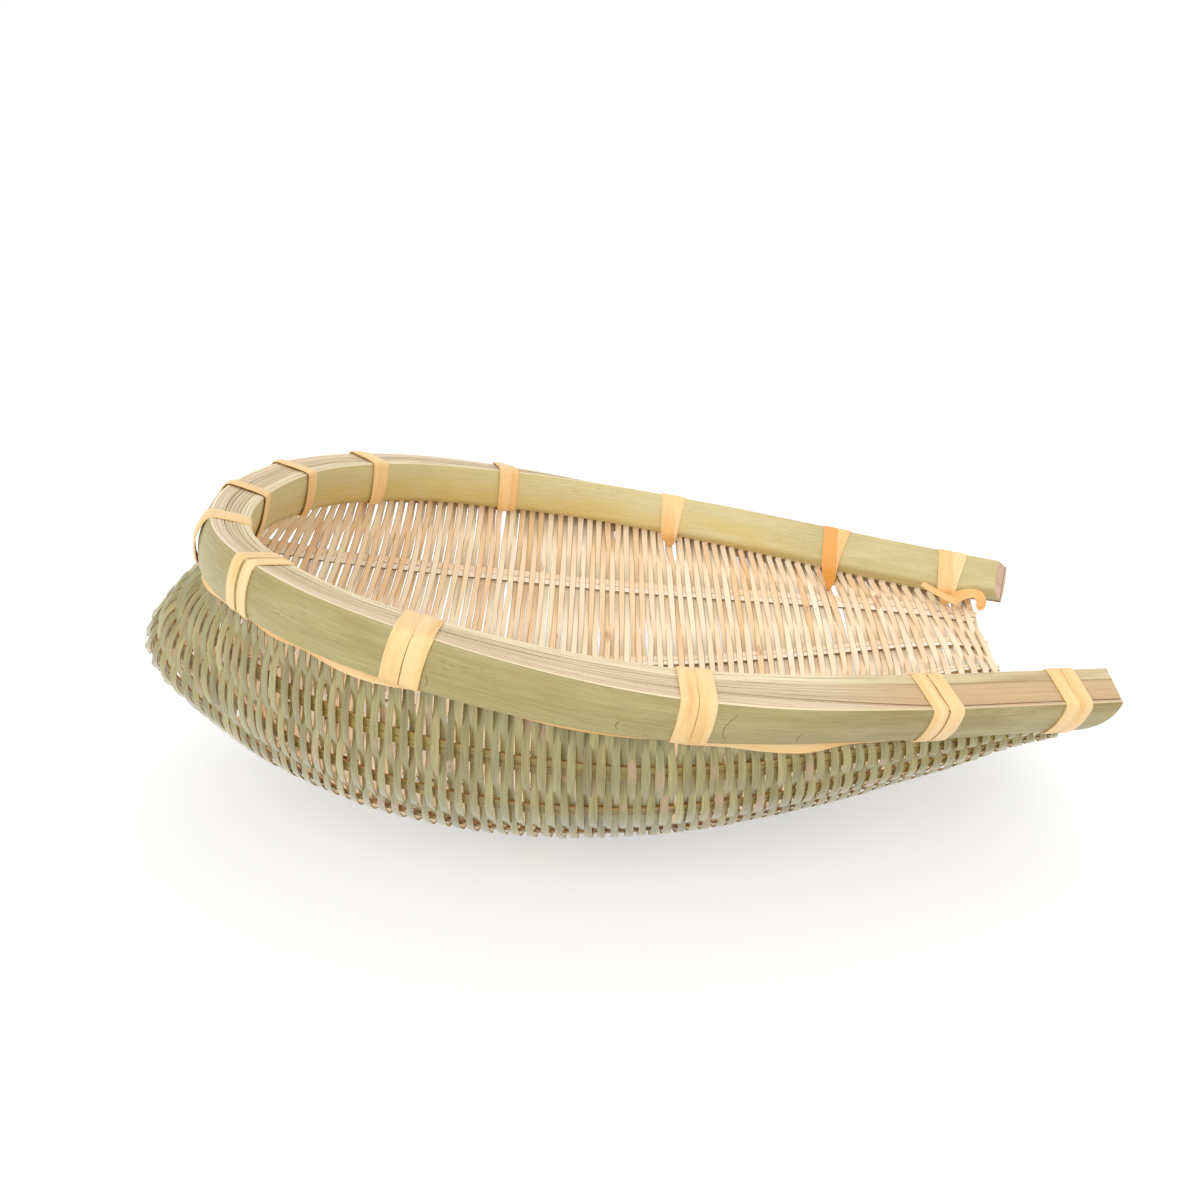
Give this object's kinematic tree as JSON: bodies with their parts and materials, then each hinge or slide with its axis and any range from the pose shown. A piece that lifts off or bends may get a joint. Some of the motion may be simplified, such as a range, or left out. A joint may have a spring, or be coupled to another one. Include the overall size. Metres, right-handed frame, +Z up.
{
  "type": "bamboo scoop basket",
  "caption": "Shallow scoop basket: a woven bamboo body hung in a U-shaped double-hoop rim, bound with split-strip lashings and open at the lip for tipping out.",
  "frame": {"origin": "centre of the basket's outline, on the surface that it stands on", "axes": "+X along the basket towards its open lip, +Y across it, +Z up"},
  "size_m": [0.25, 0.1874, 0.0863],
  "materials": {
    "outer_hoop": "smooth natural bamboo skin, low sheen",
    "inner_hoop": "split bamboo, smooth skin on the inner face",
    "weft": "split bamboo strips in plain weave, matt to low sheen",
    "warp": "split bamboo, matt",
    "lashing": "shaved bamboo strip, satin"
  },
  "bodies": {
    "root": {"outer_hoop": "outer_hoop", "inner_hoop": "inner_hoop", "weft_skin": "weft", "warp_01": "warp", "warp_02": "warp", "warp_03": "warp", "warp_04": "warp", "warp_05": "warp", "warp_06": "warp", "warp_07": "warp", "warp_08": "warp", "warp_09": "warp", "lip_weft": "weft", "lashing_01": "lashing", "lashing_02": "lashing", "lashing_03": "lashing", "lashing_04": "lashing", "lashing_05": "lashing", "lashing_06": "lashing", "lashing_07": "lashing", "lashing_08": "lashing", "lashing_09": "lashing", "lashing_10": "lashing", "lashing_11": "lashing", "lashing_12": "lashing", "lashing_13": "lashing", "runner_01": "lashing", "runner_02": "lashing", "runner_03": "lashing", "runner_04": "lashing", "runner_05": "lashing", "runner_06": "lashing", "runner_07": "lashing", "runner_08": "lashing", "runner_09": "lashing", "runner_10": "lashing", "runner_11": "lashing", "runner_12": "lashing", "knot_loop": "lashing", "knot_tail": "lashing"}
  },
  "joints": []
}
